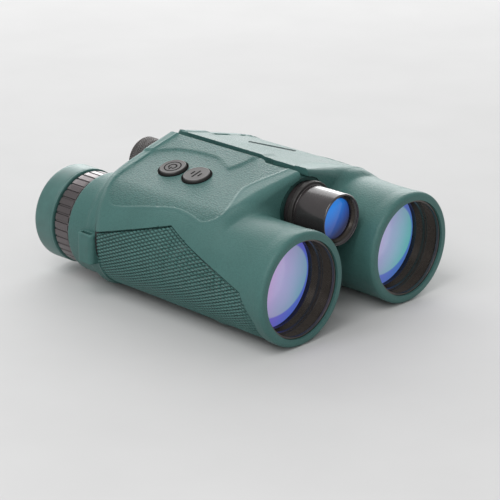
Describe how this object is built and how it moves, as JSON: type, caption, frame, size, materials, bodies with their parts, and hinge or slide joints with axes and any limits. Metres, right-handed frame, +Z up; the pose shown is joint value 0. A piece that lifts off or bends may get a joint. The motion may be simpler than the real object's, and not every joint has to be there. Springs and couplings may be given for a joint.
{
  "type": "laser rangefinder",
  "caption": "Binocular laser rangefinder: armoured roof-prism barrels on a folding hinge that carries the laser tube and focus knob, with press buttons, twist-up eyecups and strap loops.",
  "frame": {"origin": "middle of the object's box in X and Y, on the surface it lies on", "axes": "+Y towards the eyepieces, -Y the way the objectives look, +Z up, -X the user's right-hand barrel with the buttons"},
  "size_m": [0.1228, 0.146, 0.0624],
  "materials": {
    "armour_rubber": "matte stippled",
    "grip_rubber": "diamond textured",
    "hinge_rubber": "dark satin",
    "inner_casting": "satin black",
    "black_anodised": "satin black anodised",
    "gunmetal": "fine turned, dark",
    "black_polymer": "fine grain",
    "button_metal": "bead blasted",
    "coated_lens": "multi-coated",
    "optical_glass": "polished",
    "laser_glass": "blue coated",
    "steel": "turned",
    "brass": "turned",
    "circuit_board": "solder mask",
    "cell_wrap": "shrink wrap"
  },
  "bodies": {
    "right_half": {"right_housing": "inner_casting", "right_front_sleeve": "armour_rubber", "right_body_armour": "armour_rubber", "right_grip_pad": "grip_rubber", "right_strap_lug": "armour_rubber", "right_objective_tube": "black_anodised", "right_objective_crown": "coated_lens", "right_objective_flint": "optical_glass", "right_prisms": "optical_glass", "right_prism_bracket": "black_anodised", "right_eyepiece_body": "black_anodised", "hinge_spine": "hinge_rubber", "hinge_bushes": "brass", "laser_tube": "gunmetal", "laser_lens_ring": "black_anodised", "laser_lens": "laser_glass", "laser_module": "brass", "battery_tube": "black_anodised", "battery_spring": "steel", "main_board": "circuit_board", "tact_switches": "black_polymer", "receiver_module": "circuit_board"},
    "left_half": {"left_housing": "inner_casting", "left_front_sleeve": "armour_rubber", "left_body_armour": "armour_rubber", "left_grip_pad": "grip_rubber", "left_strap_lug": "armour_rubber", "left_objective_tube": "black_anodised", "left_objective_crown": "coated_lens", "left_objective_flint": "optical_glass", "left_prisms": "optical_glass", "left_prism_bracket": "black_anodised", "left_eyepiece_body": "black_anodised", "left_hinge_knuckles": "hinge_rubber", "display_module": "circuit_board"},
    "focus_wheel": {"focus_drive_sleeve": "brass", "focus_knob": "gunmetal"},
    "right_focuser": {"focus_carriage": "steel", "right_focus_cell": "black_anodised", "right_focus_lens": "optical_glass"},
    "left_focuser": {"left_focus_cell": "black_anodised", "left_focus_lens": "optical_glass"},
    "power_button": {"power_button": "button_metal"},
    "mode_button": {"mode_button": "button_metal"},
    "battery_cap": {"battery_cap": "gunmetal"},
    "battery": {"battery": "cell_wrap"},
    "right_diopter": {"right_diopter_ring": "gunmetal"},
    "right_ocular": {"right_ocular_tube": "black_anodised", "right_field_lens": "optical_glass", "right_eye_lens": "coated_lens"},
    "right_eyecup_guide": {"right_eyecup_guide": "black_polymer"},
    "right_eyecup": {"right_eyecup_sleeve": "black_polymer", "right_eyecup_rubber": "armour_rubber"},
    "left_diopter": {"left_diopter_ring": "gunmetal"},
    "left_ocular": {"left_ocular_tube": "black_anodised", "left_field_lens": "optical_glass", "left_eye_lens": "coated_lens"},
    "left_eyecup_guide": {"left_eyecup_guide": "black_polymer"},
    "left_eyecup": {"left_eyecup_sleeve": "black_polymer", "left_eyecup_rubber": "armour_rubber"}
  },
  "joints": [
    {"name": "interpupillary_hinge", "type": "hinge", "parent": "right_half", "child": "left_half", "pos_m": [0, 0, 0.0447], "axis": [0, 1, 0], "range_deg": [-8, 31]},
    {"name": "focus_turn", "type": "hinge", "parent": "right_half", "child": "focus_wheel", "pos_m": [0, 0.048, 0.0447], "axis": [0, 1, 0], "range_deg": [-200, 200]},
    {"name": "right_focus_slide", "type": "slide", "parent": "right_half", "child": "right_focuser", "axis": [0, 1, 0], "range_m": [-0.00296, 0.00296]},
    {"name": "left_focus_slide", "type": "slide", "parent": "left_half", "child": "left_focuser", "axis": [0, 1, 0], "range_m": [-0.003, 0.003]},
    {"name": "right_diopter_turn", "type": "hinge", "parent": "right_half", "child": "right_diopter", "pos_m": [-0.0345, 0.054, 0.0252], "axis": [0, 1, 0], "range_deg": [-60, 60]},
    {"name": "right_ocular_slide", "type": "slide", "parent": "right_half", "child": "right_ocular", "axis": [0, 1, 0], "range_m": [-0.00188, 0.00188]},
    {"name": "right_eyecup_slide", "type": "slide", "parent": "right_half", "child": "right_eyecup_guide", "axis": [0, 1, 0], "range_m": [0, 0.008]},
    {"name": "right_eyecup_twist", "type": "hinge", "parent": "right_eyecup_guide", "child": "right_eyecup", "pos_m": [-0.0345, 0.067, 0.0252], "axis": [0, 1, 0], "range_deg": [0, 150]},
    {"name": "left_diopter_turn", "type": "hinge", "parent": "left_half", "child": "left_diopter", "pos_m": [0.0345, 0.054, 0.0252], "axis": [0, 1, 0], "range_deg": [-60, 60]},
    {"name": "left_ocular_slide", "type": "slide", "parent": "left_half", "child": "left_ocular", "axis": [0, 1, 0], "range_m": [-0.00188, 0.00188]},
    {"name": "left_eyecup_slide", "type": "slide", "parent": "left_half", "child": "left_eyecup_guide", "axis": [0, 1, 0], "range_m": [0, 0.008]},
    {"name": "left_eyecup_twist", "type": "hinge", "parent": "left_eyecup_guide", "child": "left_eyecup", "pos_m": [0.0345, 0.067, 0.0252], "axis": [0, 1, 0], "range_deg": [0, 150]},
    {"name": "power_button_press", "type": "slide", "parent": "right_half", "child": "power_button", "axis": [0.2419, 0, -0.9703], "range_m": [0, 0.0008], "stiffness_N_per_m": 2500, "springref_m": -0.0004},
    {"name": "mode_button_press", "type": "slide", "parent": "right_half", "child": "mode_button", "axis": [0.2419, 0, -0.9703], "range_m": [0, 0.0008], "stiffness_N_per_m": 2500, "springref_m": -0.0004},
    {"name": "battery_cap_off", "type": "slide", "parent": "right_half", "child": "battery_cap", "axis": [0, 1, 0], "range_m": [0, 0.036]},
    {"name": "battery_out", "type": "slide", "parent": "right_half", "child": "battery", "axis": [0, 1, 0], "range_m": [0, 0.036]}
  ],
  "couplings": [
    {"joint": "focus_turn", "follows": "right_focus_slide", "rad_per_m": 1176.5},
    {"joint": "left_focus_slide", "follows": "right_focus_slide", "ratio": 1},
    {"joint": "right_diopter_turn", "follows": "right_ocular_slide", "rad_per_m": 555.56},
    {"joint": "right_eyecup_slide", "follows": "right_eyecup_twist", "m_per_rad": 0.00305},
    {"joint": "left_diopter_turn", "follows": "left_ocular_slide", "rad_per_m": 555.56},
    {"joint": "left_eyecup_slide", "follows": "left_eyecup_twist", "m_per_rad": 0.00305},
    {"joint": "battery_out", "follows": "battery_cap_off", "ratio": 1}
  ]
}
